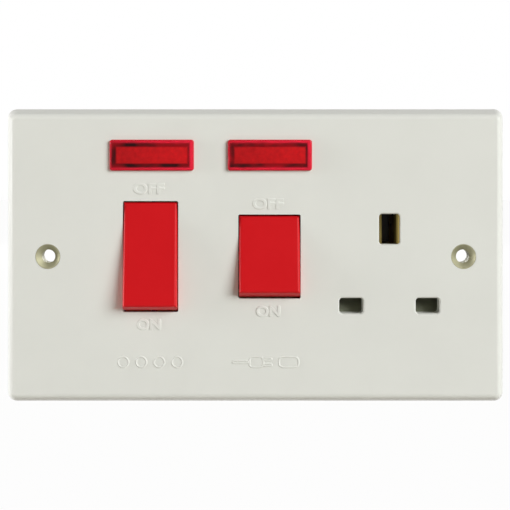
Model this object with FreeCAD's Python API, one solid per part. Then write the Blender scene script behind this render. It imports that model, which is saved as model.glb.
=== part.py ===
import FreeCAD, Part
import math
import os
from types import SimpleNamespace

V = FreeCAD.Vector
X, Y, Z = V(1, 0, 0), V(0, 1, 0), V(0, 0, 1)

# Cooker control unit for a wall box: a 45 A double-pole rocker for the cooker, a 13 A
# rocker, a neon for each, and a shuttered three-pin socket.
# Millimetres. X runs right and Z up as seen from the front; the front faces -Y and the
# rim of the plate meets the wall at Y = 0.

# Faceplate
PLATE_WIDTH = 146.0
PLATE_HEIGHT = 86.0
PLATE_DEPTH = 6.5
PLATE_INSET = 1.8
PLATE_CORNER = 2.6
EDGE_ROUND = 1.8
FACE_WALL = 2.6
SKIRT_WALL = 2.2
FIXING_SPACING = 120.6
FIXING_BORE = 1.95
FIXING_HEAD = 3.6
FIXING_BOSS = 4.2

# Switches: place and size of each opening, and how far each rocker leans either way
COOKER_X = -30.5
COOKER_OPENING_WIDTH = 16.1
COOKER_OPENING_HEIGHT = 32.2
COOKER_TILT = 9.0
COOKER_POLE = 4.4
SWITCH_X = 4.0
SWITCH_OPENING_WIDTH = 18.1
SWITCH_OPENING_HEIGHT = 24.4
SWITCH_TILT = 10.0
PIVOT_DEPTH = 3.0
ROCKER_SIDE_GAP = 0.25
ROCKER_END_GAP = 0.3
ROCKER_SUNK = 0.3
ROCKER_WALL = 1.5
ROCKER_SKIRT = 2.2
ROCKER_ROUND = 0.8
TRUNNION = 1.2
TRUNNION_LENGTH = 1.5

# Plungers, see-saw contacts and current strips
POST = 2.3
PLUNGER = 1.45
SPRING = 1.2
SPRING_WIRE = 0.2
TIP_ROUND = 1.2
TIP_GAP = 0.12
BAR = 1.6
BAR_WIDTH = 4.6
BAR_ARM = 11.0
BAR_DIHEDRAL = 8.0
CONTACT_REACH = 9.0
CONTACT_RADIUS = 1.8
CONTACT_HEIGHT = 0.8
NOSE = 0.75
NOSE_HEIGHT = 2.4
STRIP = 1.2
STRIP_WIDTH = 5.4
LINK = 1.0
LINK_WIDTH = 3.0
BRIDGE = 5.1
LOAD_WIDTH = 2.6

# Neons
NEON_Z = 29.4
COOKER_NEON_SHIFT = 0.4
SWITCH_NEON_SHIFT = 0.1
LENS_WIDTH = 24.4
LENS_HEIGHT = 9.0
LENS_PROUD = 1.1
LENS_WALL = 1.2
LENS_LIP = 0.4
LENS_DEPTH = 8.6
LENS_CORNER = 0.8
LENS_ROUND = 0.5
WINDOW_WIDTH = 20.6
WINDOW_HEIGHT = 4.8
WINDOW_PAD = 0.3
HOLDER_GAP = 0.6
LAMP = 1.7
LAMP_LENGTH = 9.2
RESISTOR = 1.1
RESISTOR_LENGTH = 6.4
LEAD = 0.35

# Socket: pin places, slots and contacts
SOCKET_X = 38.8
PIN_SPACING = 22.2
EARTH_Z = 7.95
PIN_Z = -14.3
EARTH_SLOT_WIDTH = 6.0
EARTH_SLOT_HEIGHT = 8.8
PIN_SLOT_WIDTH = 6.9
PIN_SLOT_HEIGHT = 4.5
SLOT_DEPTH = 5.0
SLEEVE_WALL = 0.9
EARTH_PIN_REACH = 22.7
CLIP = 0.7
CLIP_GAP = 4.3
CLIP_WIDTH = 6.0
CLIP_FLARE = 1.6
SHUTTER_DEPTH = 5.1
SHUTTER_LAP = 0.45
SHUTTER_WALL = 0.7

# Terminals and earth strap
BLOCK_WIDTH = 7.4
BLOCK_DEPTH = 9.0
BLOCK_HEIGHT = 7.8
WIRE_BORE = 2.6
CLAMP_SCREW = 2.0
SCREW_HEAD = 1.8
SCREW_SLOT = 0.9
STRAP = 0.8
STRAP_WIDTH = 6.0
STRAP_Z = -31.0

# Rear base
BASE_WALL = 1.5
BASE_CORNER = 2.5
BASE_ROUND = 1.0
BEARING_POST = 1.8
FLOOR_WALL = 2.0
PILLAR = 2.6
BASE_SCREW = 1.4
RIB = 1.1
LEAD_IN = 0.7

# Fits
RUN = 0.05
FIT = 0.1
SLIDE = 0.3

# Depths, all taken from the front face
FRONT = -PLATE_DEPTH
BACK = FRONT + FACE_WALL
PIVOT_Y = FRONT + PIVOT_DEPTH
SLEEVE_REAR = FRONT + SLOT_DEPTH
FLOOR_Y = FRONT + EARTH_PIN_REACH + 0.6
BASE_REAR = FLOOR_Y + FLOOR_WALL
STRIP_Y = FLOOR_Y - STRIP
NOSE_Y = STRIP_Y - NOSE_HEIGHT
TIP_REACH = NOSE_Y - BAR / math.cos(math.radians(BAR_DIHEDRAL)) - TIP_GAP - PIVOT_Y
SPLIT_Y = BACK + 3.7
LENS_FRONT = FRONT - LENS_PROUD
LENS_REAR = LENS_FRONT + LENS_DEPTH
STRAP_REAR = -0.8
STRAP_FRONT = STRAP_REAR - STRAP
SHUTTER_FRONT = SLEEVE_REAR + SLIDE
SHUTTER_REAR = SHUTTER_FRONT + SHUTTER_DEPTH

# Heights and sides of the base, set by what it holds
BLOCK_NEAR = 15.2
BLOCK_FAR = BLOCK_NEAR + BLOCK_HEIGHT
BLOCK_FRONT = STRIP_Y - BLOCK_DEPTH
WIRE_Y = BLOCK_FRONT + WIRE_BORE + 1.4
BASE_INNER = BLOCK_FAR + FIT
BASE_OUTER = BASE_INNER + BASE_WALL
NEUTRAL_X = SOCKET_X - PIN_SPACING / 2
LINE_X = SOCKET_X + PIN_SPACING / 2
PILLAR_X = COOKER_X - COOKER_POLE - BLOCK_WIDTH / 2 - PILLAR - SLIDE
BASE_LEFT = PILLAR_X - PILLAR - SLIDE - BASE_WALL
BASE_RIGHT = LINE_X + PIN_SLOT_WIDTH / 2 + SLEEVE_WALL + FIT + BASE_WALL
SHUTTER_LEFT = NEUTRAL_X - PIN_SLOT_WIDTH / 2 - SHUTTER_LAP
SHUTTER_RIGHT = LINE_X + PIN_SLOT_WIDTH / 2 + SHUTTER_LAP
SHUTTER_TOP = PIN_Z + PIN_SLOT_HEIGHT / 2 + SHUTTER_LAP
SHUTTER_FOOT = SHUTTER_TOP - PIN_SLOT_HEIGHT - 3 * SHUTTER_LAP
SPRING_SEAT = SHUTTER_TOP - 2 * SHUTTER_WALL
LINK_Z = -(BLOCK_NEAR - 0.4)
LOAD_Z = 14.0
EARTH_BLOCKS = (-13.0, 6.0)

COOKER = SimpleNamespace(
    x=COOKER_X,
    neon=COOKER_X + COOKER_NEON_SHIFT,
    width=COOKER_OPENING_WIDTH,
    height=COOKER_OPENING_HEIGHT,
    tilt=COOKER_TILT,
    poles=(-COOKER_POLE, COOKER_POLE),
)
SWITCH = SimpleNamespace(
    x=SWITCH_X,
    neon=SWITCH_X + SWITCH_NEON_SHIFT,
    width=SWITCH_OPENING_WIDTH,
    height=SWITCH_OPENING_HEIGHT,
    tilt=SWITCH_TILT,
    poles=(0.0,),
)
SCREW_POINTS = (
    (PILLAR_X, BASE_INNER - PILLAR),
    (PILLAR_X, PILLAR - BASE_INNER),
    (LINE_X + 0.8, BASE_INNER - PILLAR),
    (SHUTTER_LEFT - PILLAR - 2.2, PILLAR - BASE_INNER),
)
CLAMP_POINTS = [
    (COOKER_X + pole, side * (BLOCK_NEAR + BLOCK_HEIGHT / 2))
    for side in (-1, 1)
    for pole in COOKER.poles
]


def box(x, y, z):
    """Block between the two ends given on each axis."""
    return Part.makeBox(x[1] - x[0], y[1] - y[0], z[1] - z[0], V(x[0], y[0], z[0]))


def about(centre, size):
    """The two ends of a length set about its middle."""
    return centre - size / 2, centre + size / 2


def rod_y(radius, x, z, y0, y1):
    return Part.makeCylinder(radius, y1 - y0, V(x, y0, z), Y)


def rod_x(radius, y, z, x0, x1):
    return Part.makeCylinder(radius, x1 - x0, V(x0, y, z), X)


def rod_z(radius, x, y, z0, z1):
    return Part.makeCylinder(radius, z1 - z0, V(x, y, z0), Z)


def rounded_rect(width, height, radius, x, z, y):
    """Closed outline of a rectangle with round corners, facing along Y."""
    a = width / 2 - radius
    b = height / 2 - radius
    k = radius * math.sqrt(0.5)
    arcs = []
    for sx, sz in ((1, 1), (-1, 1), (-1, -1), (1, -1)):
        ends = [V(x + sx * (a + radius), y, z + sz * b), V(x + sx * a, y, z + sz * (b + radius))]
        if sx * sz < 0:
            ends.reverse()
        middle = V(x + sx * (a + k), y, z + sz * (b + k))
        arcs.append(Part.Arc(ends[0], middle, ends[1]).toShape())
    edges = []
    for arc, after in zip(arcs, arcs[1:] + arcs[:1]):
        edges.append(arc)
        edges.append(Part.makeLine(arc.Vertexes[-1].Point, after.Vertexes[0].Point))
    return Part.Wire(edges)


def slab(width, height, radius, x, z, y0, y1):
    """Plate with round corners between two depths."""
    return Part.Face(rounded_rect(width, height, radius, x, z, y0)).extrude(V(0, y1 - y0, 0))


def prism(points, along):
    """Polygon swept straight."""
    return Part.Face(Part.makePolygon(points + points[:1])).extrude(along)


def folded(points, thickness, along):
    """Folded strip: its middle line runs through the points, its width along a vector."""
    across = V(along).normalize()
    runs = [(b - a).normalize() for a, b in zip(points, points[1:])]
    sides = [across.cross(run) for run in runs]
    near, far = [], []
    for i, point in enumerate(points):
        before = sides[max(i - 1, 0)]
        after = sides[min(i, len(sides) - 1)]
        mitre = (before + after) * (thickness / 2 / (1 + before.dot(after)))
        near.append(point + mitre)
        far.append(point - mitre)
    return prism(near + far[::-1], along)


def hexagon(radius, centre, across, up):
    """Six-sided outline about a point, in the plane of two directions."""
    turns = [math.radians(60 * k) for k in range(6)]
    corners = [centre + across * (radius * math.cos(t)) + up * (radius * math.sin(t)) for t in turns]
    return Part.makePolygon(corners + corners[:1])


def wire_run(points, bend, radius):
    """Thin wire that sets off along Y through the points, turning each corner on a bend."""
    edges = []
    start = points[0]
    for before, corner, after in zip(points, points[1:], points[2:]):
        inward = (corner - before).normalize()
        outward = (after - corner).normalize()
        centre = corner - inward * bend + outward * bend
        first = corner - inward * bend
        last = corner + outward * bend
        edges.append(Part.makeLine(start, first))
        edges.append(Part.Arc(first, centre + (inward - outward) * bend * math.sqrt(0.5), last).toShape())
        start = last
    edges.append(Part.makeLine(start, points[-1]))
    return Part.Wire(edges).makePipeShell([hexagon(radius, points[0], X, Z)], True, False)


def coil(radius, wire, length, turns):
    """Compression spring standing on Z = 0."""
    helix = Part.makeHelix((length - 2 * wire) / turns, length - 2 * wire, radius)
    ring = hexagon(wire, V(radius, 0, 0), X, Z)
    spring = Part.Wire(helix.Edges).makePipeShell([ring], True, True)
    spring.translate(V(0, 0, wire))
    return spring


def edges_at_depth(shape, y):
    """Edges that lie wholly at one depth."""
    return [e for e in shape.Edges if all(abs(v.Y - y) < 1e-6 for v in e.Vertexes)]


def edges_along(shape, axis):
    """Straight edges that run along an axis."""
    return [
        e
        for e in shape.Edges
        if isinstance(e.Curve, Part.Line) and abs(abs(e.tangentAt(e.FirstParameter).dot(axis)) - 1) < 1e-6
    ]


def joined(first, *others):
    """One solid from pieces that overlap or share faces."""
    return first.fuse(list(others)).removeSplitter()


def to_rest(shape, x, y, degrees):
    """Set a switch piece, drawn about its own pivot, to its OFF place."""
    shape.rotate(V(), X, degrees)
    shape.translate(V(x, y, 0))
    return shape


# Rockers. The end faces are struck about the pivot, so the gap to the opening stays the
# same through the throw, and the edge that is pressed in stops just below the plate.
def rocker_sizes(switch):
    reach = switch.height / 2 - ROCKER_END_GAP
    lean = math.radians(switch.tilt) + math.asin((PIVOT_DEPTH - ROCKER_SUNK) / reach)
    return reach, reach * math.sin(lean)


def rocker_body(reach, face, rear, width):
    """Solid between a flat face, two round ends and a flat rear."""
    half = math.sqrt(reach ** 2 - face ** 2)
    back = math.sqrt(reach ** 2 - rear ** 2)
    y = (rear - face) / 2
    z = math.sqrt(reach ** 2 - y ** 2)
    x = -width / 2
    outline = Part.Wire([
        Part.makeLine(V(x, -face, -half), V(x, -face, half)),
        Part.Arc(V(x, -face, half), V(x, y, z), V(x, rear, back)).toShape(),
        Part.makeLine(V(x, rear, back), V(x, rear, -back)),
        Part.Arc(V(x, rear, -back), V(x, y, -z), V(x, -face, -half)).toShape(),
    ])
    return Part.Face(outline).extrude(V(width, 0, 0))


def rocker(switch):
    reach, face = rocker_sizes(switch)
    width = switch.width - 2 * ROCKER_SIDE_GAP
    shell = rocker_body(reach, face, ROCKER_SKIRT, width)
    shell = shell.makeFillet(ROCKER_ROUND, edges_at_depth(shell, -face))
    inside = face - ROCKER_WALL
    hollow = rocker_body(reach - ROCKER_WALL, inside, ROCKER_SKIRT + 1, width - 2 * ROCKER_WALL)
    shell = shell.cut(hollow)
    web = box(about(0, width - ROCKER_WALL), (-inside - 0.2, ROCKER_SKIRT), about(0, 1.2))
    axle = rod_x(TRUNNION, 0, 0, width / 2 - 0.2, width / 2 + TRUNNION_LENGTH)
    mirrored = rod_x(TRUNNION, 0, 0, -width / 2 - TRUNNION_LENGTH, 0.2 - width / 2)
    posts = [rod_y(POST, pole, 0, -inside - 0.2, plunger_guide()) for pole in switch.poles]
    body = joined(shell, web, axle, mirrored, *posts)
    for pole in switch.poles:
        body = body.cut(rod_y(PLUNGER + FIT, pole, 0, spring_start(), plunger_guide() + 1))
    return to_rest(body, switch.x, PIVOT_Y, -switch.tilt)


def plunger_guide():
    """Depth of the open end of a rocker's post behind the pivot."""
    return TIP_REACH * 0.6


def spring_start():
    return -1.0


def spring_end():
    return TIP_REACH * 0.27


def plunger(switch, pole):
    shoulder = TIP_REACH - TIP_ROUND
    stem = rod_y(PLUNGER, 0, 0, spring_end(), shoulder - 1)
    neck = Part.makeCone(PLUNGER, TIP_ROUND, 1, V(0, shoulder - 1, 0), Y)
    tip = Part.makeSphere(TIP_ROUND, V(0, shoulder, 0))
    return to_rest(joined(stem, neck, tip), switch.x + pole, PIVOT_Y, -switch.tilt)


def plunger_spring(switch, pole):
    spring = coil(SPRING, SPRING_WIRE, spring_end() - spring_start(), 4)
    spring.rotate(V(), X, -90)
    spring.translate(V(0, spring_start(), 0))
    return to_rest(spring, switch.x + pole, PIVOT_Y, -switch.tilt)


# See-saw contacts: a shallow V bar rocking on the round nose of its pivot strip
def moving_contact(switch, pole):
    width = about(0, BAR_WIDTH)
    upper = box(width, (-BAR, 0), (0, BAR_ARM))
    upper = joined(upper, rod_y(CONTACT_RADIUS, 0, CONTACT_REACH, -0.2, CONTACT_HEIGHT))
    upper.rotate(V(), X, BAR_DIHEDRAL)
    lower = box(width, (-BAR, 0), (-BAR_ARM, 0))
    lower.rotate(V(), X, -BAR_DIHEDRAL)
    bar = joined(upper, lower).cut(rod_x(NOSE + RUN, 0, 0, -BAR_WIDTH, BAR_WIDTH))
    return to_rest(bar, switch.x + pole, NOSE_Y, switch.tilt)


def contact_front(switch):
    """Depth of a fixed contact that the closed moving contact stops just short of."""
    lean = math.radians(switch.tilt - BAR_DIHEDRAL)
    closed = CONTACT_HEIGHT * math.cos(lean) + CONTACT_REACH * math.sin(lean)
    return NOSE_Y + closed + CONTACT_RADIUS * abs(math.sin(lean)) + FIT


def stop_front(switch):
    lean = math.radians(switch.tilt - BAR_DIHEDRAL)
    return NOSE_Y + (CONTACT_REACH + 0.6) * abs(math.sin(lean)) + FIT


def pivot_strip(switch, pole, end):
    """Strip under the see-saw: round nose, stop for the open contact, and a tail."""
    x = switch.x + pole
    foot = box(about(x, STRIP_WIDTH), (STRIP_Y, FLOOR_Y), (end, 2.5))
    post = box(about(x, BAR_WIDTH), (NOSE_Y, STRIP_Y), about(0, 2 * NOSE))
    nose = rod_x(NOSE, NOSE_Y, 0, *about(x, BAR_WIDTH))
    stop = box(about(x, BAR_WIDTH), (stop_front(switch), STRIP_Y), about(-CONTACT_REACH, STRIP))
    return joined(foot, post, nose, stop)


def fixed_contact(switch, pole):
    x = switch.x + pole
    strip = box(about(x, STRIP_WIDTH), (STRIP_Y, FLOOR_Y), (CONTACT_REACH - 2.5, BLOCK_FAR))
    return joined(strip, rod_y(CONTACT_RADIUS, x, CONTACT_REACH, contact_front(switch), STRIP_Y))


def with_clamp_hole(strip, point):
    return strip.cut(rod_y(CLAMP_SCREW + 0.2, point[0], point[1], STRIP_Y - 1, FLOOR_Y + 1))


def switch_load_strip():
    """Fixed contact of the socket switch, led over the earth contact to the line contact."""
    left = SWITCH_X - lead_reach() - 1.5 * STRIP
    high = LOAD_Z + LOAD_WIDTH
    foot = PIN_Z - (CLIP_GAP + CLIP) / 2
    outline = [
        V(left, STRIP_Y, LOAD_Z),
        V(SWITCH_X - STRIP_WIDTH / 2, STRIP_Y, LOAD_Z),
        V(SWITCH_X - STRIP_WIDTH / 2, STRIP_Y, CONTACT_REACH - 2.5),
        V(SWITCH_X + STRIP_WIDTH / 2, STRIP_Y, CONTACT_REACH - 2.5),
        V(SWITCH_X + STRIP_WIDTH / 2, STRIP_Y, LOAD_Z),
        V(LINE_X - LOAD_WIDTH, STRIP_Y, LOAD_Z),
        V(LINE_X - LOAD_WIDTH, STRIP_Y, foot),
        V(LINE_X + LOAD_WIDTH, STRIP_Y, foot),
        V(LINE_X + LOAD_WIDTH, STRIP_Y, high),
        V(left, STRIP_Y, high),
    ]
    strip = prism(outline, V(0, STRIP, 0))
    strip = strip.makeFillet(0.8, edges_along(strip, Y))
    button = rod_y(CONTACT_RADIUS, SWITCH_X, CONTACT_REACH, contact_front(SWITCH), STRIP_Y)
    return joined(strip, button)


def line_link():
    """Flat bar on the front of the cooker line strip and the socket switch's strip."""
    ends = (COOKER_X + COOKER_POLE - 0.4 * STRIP_WIDTH, SWITCH_X + 0.4 * STRIP_WIDTH)
    return box(ends, (STRIP_Y - LINK, STRIP_Y), (LINK_Z, LINK_Z + LINK_WIDTH))


def neutral_link():
    """Bridge from the cooker neutral strip, over the line strips, to the neutral contact."""
    start = COOKER_X - COOKER_POLE
    step = start + STRIP_WIDTH * 2 / 3
    bridge = STRIP_Y - BRIDGE
    rise = SHUTTER_LEFT - 2 * LINK_WIDTH
    path = [
        V(start - 0.4 * STRIP_WIDTH, STRIP_Y - LINK / 2, LINK_Z),
        V(step, STRIP_Y - LINK / 2, LINK_Z),
        V(step, bridge, LINK_Z),
        V(rise, bridge, LINK_Z),
        V(rise, STRIP_Y + LINK / 2, LINK_Z),
        V(NEUTRAL_X + CLIP_WIDTH / 2, STRIP_Y + LINK / 2, LINK_Z),
    ]
    return folded(path, LINK, V(0, 0, LINK_WIDTH))


# Socket contacts and shutter
def pin_contact(x):
    """Spring clip that grips a pin above and below."""
    half = (CLIP_GAP + CLIP) / 2
    wide = half + CLIP_FLARE / 3
    back = STRIP_Y - CLIP / 2
    mouth = SHUTTER_REAR + 2 * SLIDE
    side = x - CLIP_WIDTH / 2
    path = [
        V(side, mouth, PIN_Z - wide),
        V(side, mouth + CLIP_FLARE, PIN_Z - half),
        V(side, back, PIN_Z - half),
        V(side, back, PIN_Z + half),
        V(side, mouth + CLIP_FLARE, PIN_Z + half),
        V(side, mouth, PIN_Z + wide),
    ]
    return folded(path, CLIP, V(CLIP_WIDTH, 0, 0))


def earth_contact():
    """Two leaves beside the earth pin, and a tail round the base to the strap."""
    half = (CLIP_GAP + CLIP) / 2
    wide = half + CLIP_FLARE / 3
    low = EARTH_Z - EARTH_SLOT_HEIGHT / 2 - 1.5 * CLIP
    tall = V(0, 0, EARTH_SLOT_HEIGHT)
    mouth = SLEEVE_REAR + SLIDE
    leaves = []
    for side in (-1, 1):
        path = [
            V(SOCKET_X + side * wide, mouth, low),
            V(SOCKET_X + side * half, mouth + CLIP_FLARE, low),
            V(SOCKET_X + side * half, FLOOR_Y - 2 * CLIP_FLARE, low),
        ]
        leaves.append(folded(path, CLIP, tall))
    floor = FLOOR_Y - CLIP / 2
    under = -BASE_OUTER - FIT - CLIP / 2
    tail = [
        V(SOCKET_X - half, mouth + CLIP_FLARE, low + CLIP / 2),
        V(SOCKET_X - half, floor, low + CLIP / 2),
        V(SOCKET_X - half, floor, under),
        V(SOCKET_X - half, STRAP_REAR + CLIP / 2, under),
        V(SOCKET_X - half, STRAP_REAR + CLIP / 2, STRAP_Z - STRAP_WIDTH / 2),
    ]
    return joined(folded(tail, CLIP, V(2 * half, 0, 0)), *leaves)


def shutter():
    """Sliding block with a ramp behind each slot, pushed down by the two pins together."""
    depth = (SHUTTER_FRONT, SHUTTER_REAR)
    bar = box((SHUTTER_LEFT, SHUTTER_RIGHT), depth, (SHUTTER_FOOT, SHUTTER_TOP))
    deep = SHUTTER_REAR - SHUTTER_WALL
    lip = SHUTTER_FOOT + SHUTTER_LAP
    ramp_top = lip + deep - SHUTTER_FRONT
    pocket = PIN_SLOT_WIDTH + 4 * SHUTTER_LAP
    for x in (SHUTTER_LEFT - 1, SHUTTER_RIGHT - pocket):
        cut = [
            V(x, SHUTTER_FRONT, lip),
            V(x, deep, ramp_top),
            V(x, deep, SHUTTER_TOP + 1),
            V(x, SHUTTER_FRONT - 1, SHUTTER_TOP + 1),
            V(x, SHUTTER_FRONT - 1, lip),
        ]
        bar = bar.cut(prism(cut, V(pocket + 1, 0, 0)))
    middle = (SHUTTER_FRONT + SHUTTER_REAR) / 2
    bore = SPRING + SPRING_WIRE + SLIDE
    return bar.cut(rod_z(bore, SOCKET_X, middle, SHUTTER_FOOT - 1, SPRING_SEAT))


def shutter_spring():
    spring = coil(SPRING, SPRING_WIRE, SPRING_SEAT + BASE_INNER, 6)
    spring.translate(V(SOCKET_X, (SHUTTER_FRONT + SHUTTER_REAR) / 2, -BASE_INNER))
    return spring


# Neons: a hollow red lens, a holder inside it, a glass lamp and its resistor
def neon_lens(x):
    """Hollow cap with a thin flange, side catches and a thicker window that spreads the glow."""
    flange = slab(LENS_WIDTH, LENS_HEIGHT, LENS_CORNER, x, NEON_Z, LENS_FRONT, FRONT)
    flange = flange.makeFillet(LENS_ROUND, edges_at_depth(flange, LENS_FRONT))
    width = LENS_WIDTH - 2 * LENS_LIP
    height = LENS_HEIGHT - 2 * LENS_LIP
    body = slab(width, height, 0.6, x, NEON_Z, FRONT - 0.2, LENS_REAR)
    catches = box(about(x, width + 0.8), (BACK + FIT, BACK + FIT + 0.8), about(NEON_Z, 3))
    inner = LENS_FRONT + LENS_WALL
    cavity = lens_cavity(x, 0, inner, LENS_REAR + 1)
    window = slab(WINDOW_WIDTH, WINDOW_HEIGHT, 0.4, x, NEON_Z, inner, inner + WINDOW_PAD)
    return joined(flange, body, catches).cut(cavity.cut(window))


def lens_cavity(x, gap, y0, y1):
    width = LENS_WIDTH - 2 * LENS_LIP - 2 * LENS_WALL - 2 * gap
    height = LENS_HEIGHT - 2 * LENS_LIP - 2 * LENS_WALL - 2 * gap
    return slab(width, height, 0.4, x, NEON_Z, y0, y1)


def lamp_y():
    return LENS_FRONT + LENS_WALL + WINDOW_PAD + 1.0 + LAMP


def lead_reach():
    return COOKER_POLE + WIRE_BORE + 0.75


def neon_holder(switch):
    """Plug inside the lens, with a trough for the lamp and a groove for the resistor."""
    front = LENS_FRONT + LENS_WALL + WINDOW_PAD + SLIDE
    plug = lens_cavity(switch.neon, HOLDER_GAP, front, LENS_REAR)
    plate = lens_cavity(switch.neon, FIT, LENS_REAR - 1.4, LENS_REAR)
    reach = LAMP_LENGTH / 2 + LAMP + 2 * FIT
    span = (switch.neon - LENS_WIDTH / 2, switch.neon + reach)
    trough = rod_x(LAMP + FIT, lamp_y(), NEON_Z, *span)
    rear = LENS_REAR + 1
    bed = about(switch.x, RESISTOR_LENGTH + 4 * FIT)
    groove = rod_x(RESISTOR + FIT, LENS_REAR - 0.3, NEON_Z, *bed)
    tails = box(about(switch.x, 2 * lead_reach()), (LENS_REAR - 0.7, rear), about(NEON_Z, 0.8))
    holder = joined(plug, plate).cut(trough).cut(groove).cut(tails)
    for side in (-1, 1):
        x = switch.x + side * lead_reach()
        holder = holder.cut(rod_y(LEAD + 0.1, x, NEON_Z, LENS_REAR - 1.1, rear))
    return holder


def neon_lamp(x):
    left, right = about(x, LAMP_LENGTH)
    tube = rod_x(LAMP, lamp_y(), NEON_Z, left, right)
    nose = Part.makeSphere(LAMP, V(right, lamp_y(), NEON_Z))
    seal = box((left - LAMP, left + 0.1), about(lamp_y(), 0.7 * LAMP), about(NEON_Z, 1.4 * LAMP))
    return joined(tube, nose, seal)


def neon_resistor(x):
    y = LENS_REAR - 0.3
    body = rod_x(RESISTOR, y, NEON_Z, *about(x, RESISTOR_LENGTH))
    return joined(body, rod_x(LEAD, y, NEON_Z, x - lead_reach() + LEAD, x + lead_reach() - LEAD))


def cooker_leads():
    runs = []
    for side in (-1, 1):
        x = COOKER_X + side * lead_reach()
        points = [V(x, LENS_REAR - 1, NEON_Z), V(x, WIRE_Y, NEON_Z), V(x, WIRE_Y, BLOCK_FAR)]
        runs.append(wire_run(points, 2.0, LEAD))
    return Part.makeCompound(runs)


def lead_drop():
    """Depth at which the socket neon's leads pass down inside the base."""
    return STRIP_Y - 7.6


def lead_side():
    """Place of the neutral lead, clear of the rocker's right-hand bearing post."""
    return SWITCH_X + SWITCH_OPENING_WIDTH / 2 + 3.0


def switch_leads():
    y = lead_drop()
    left = SWITCH_X - lead_reach()
    right = SWITCH_X + lead_reach()
    line = [
        V(left, LENS_REAR - 1, NEON_Z),
        V(left, y, NEON_Z),
        V(left, y, LOAD_Z + 1.3),
        V(left, STRIP_Y, LOAD_Z + 1.3),
    ]
    bridge = STRIP_Y - BRIDGE - LINK / 2
    neutral = [
        V(right, LENS_REAR - 1, NEON_Z),
        V(right, y, NEON_Z),
        V(lead_side(), y, NEON_Z),
        V(lead_side(), y, LINK_Z + LINK_WIDTH / 2),
        V(lead_side(), bridge, LINK_Z + LINK_WIDTH / 2),
    ]
    return Part.makeCompound([wire_run(line, 1.0, LEAD), wire_run(neutral, 0.8, LEAD)])


# Terminals
def terminal_block(x, z, front):
    """Brass pillar: wire bore up and down, clamp screw hole from the rear."""
    block = box(about(x, BLOCK_WIDTH), (front, front + BLOCK_DEPTH), about(z, BLOCK_HEIGHT))
    block = block.makeChamfer(0.4, edges_along(block, Z))
    wire_y = front + WIRE_BORE + 1.4
    block = block.cut(rod_z(WIRE_BORE, x, wire_y, z - BLOCK_HEIGHT, z + BLOCK_HEIGHT))
    return block.cut(rod_y(CLAMP_SCREW, x, z, wire_y, front + BLOCK_DEPTH + 1))


def clamp_screw(x, z, front, seat):
    """Cheese-head screw backed off so that its end is level with the wall of the bore."""
    wire_wall = front + 2 * WIRE_BORE + 1.4
    shank = rod_y(CLAMP_SCREW - RUN, x, z, wire_wall + 0.1, seat)
    head = rod_y(CLAMP_SCREW + 1, x, z, seat, seat + SCREW_HEAD)
    slot_depth = (seat + SCREW_HEAD / 2, seat + 2 * SCREW_HEAD)
    slot = box(about(x, 4 * CLAMP_SCREW), slot_depth, about(z, SCREW_SLOT))
    return joined(shank, head).cut(slot)


def eyelet(x):
    """Countersunk bush through plate and strap, rolled over at the rear."""
    return eyelet_outline(x, 0).cut(eyelet_bore(x))


def eyelet_outline(x, gap):
    tube = FIXING_BORE + 0.6 + gap
    head = FIXING_HEAD + gap
    front = FRONT + 0.1
    shape = rod_y(head, x, 0, front - 5 * gap, front + 0.3)
    shape = shape.fuse(Part.makeCone(head, tube, head - tube, V(x, front + 0.3, 0), Y))
    shape = shape.fuse(rod_y(tube, x, 0, front + 0.3, STRAP_REAR))
    roll = rod_y(tube + 0.9, x, 0, STRAP_REAR, STRAP_REAR + 0.5)
    return joined(shape, roll)


def eyelet_bore(x):
    sink = FIXING_HEAD - 0.15
    cone = Part.makeCone(sink, FIXING_BORE, sink - FIXING_BORE, V(x, FRONT + 0.1, 0), Y)
    return joined(cone, rod_y(FIXING_BORE, x, 0, FRONT + 0.1, 0))


def earth_strap():
    """Flat strap that hangs from the two eyelets and runs along below the base."""
    half = STRAP_WIDTH / 2
    side = FIXING_SPACING / 2
    outline = [
        V(-side - half, STRAP_FRONT, half),
        V(-side - half, STRAP_FRONT, STRAP_Z - half),
        V(side + half, STRAP_FRONT, STRAP_Z - half),
        V(side + half, STRAP_FRONT, half),
        V(side - half, STRAP_FRONT, half),
        V(side - half, STRAP_FRONT, STRAP_Z + half),
        V(half - side, STRAP_FRONT, STRAP_Z + half),
        V(half - side, STRAP_FRONT, half),
    ]
    strap = prism(outline, V(0, STRAP, 0))
    strap = strap.makeFillet(1.5, edges_along(strap, Y))
    for x in (-side, side):
        strap = strap.cut(rod_y(FIXING_BORE + 0.6 + RUN, x, 0, STRAP_FRONT - 1, STRAP_REAR + 1))
    return strap


def earth_blocks():
    return Part.makeCompound([terminal_block(x, STRAP_Z, STRAP_REAR) for x in EARTH_BLOCKS])


# Faceplate
def faceplate():
    lean = PLATE_INSET / PLATE_DEPTH
    front_corner = PLATE_CORNER - 0.6
    rim = rounded_rect(PLATE_WIDTH, PLATE_HEIGHT, PLATE_CORNER, 0, 0, 0)
    front_size = (PLATE_WIDTH - 2 * PLATE_INSET, PLATE_HEIGHT - 2 * PLATE_INSET)
    front = rounded_rect(*front_size, front_corner, 0, 0, FRONT)
    plate = Part.makeLoft([rim, front], True, True)
    plate = plate.makeFillet(EDGE_ROUND, edges_at_depth(plate, FRONT))
    inner_rim = [size - 2 * SKIRT_WALL + 2 * lean for size in (PLATE_WIDTH, PLATE_HEIGHT)]
    inner_face = [size - 2 * SKIRT_WALL + 2 * lean * BACK for size in (PLATE_WIDTH, PLATE_HEIGHT)]
    cavity = Part.makeLoft([
        rounded_rect(*inner_rim, 1.2, 0, 0, 1),
        rounded_rect(*inner_face, 1.0, 0, 0, BACK),
    ], True, True)
    plate = plate.cut(cavity)
    return plate.fuse(plate_bosses()).removeSplitter().cut(plate_holes())


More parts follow.
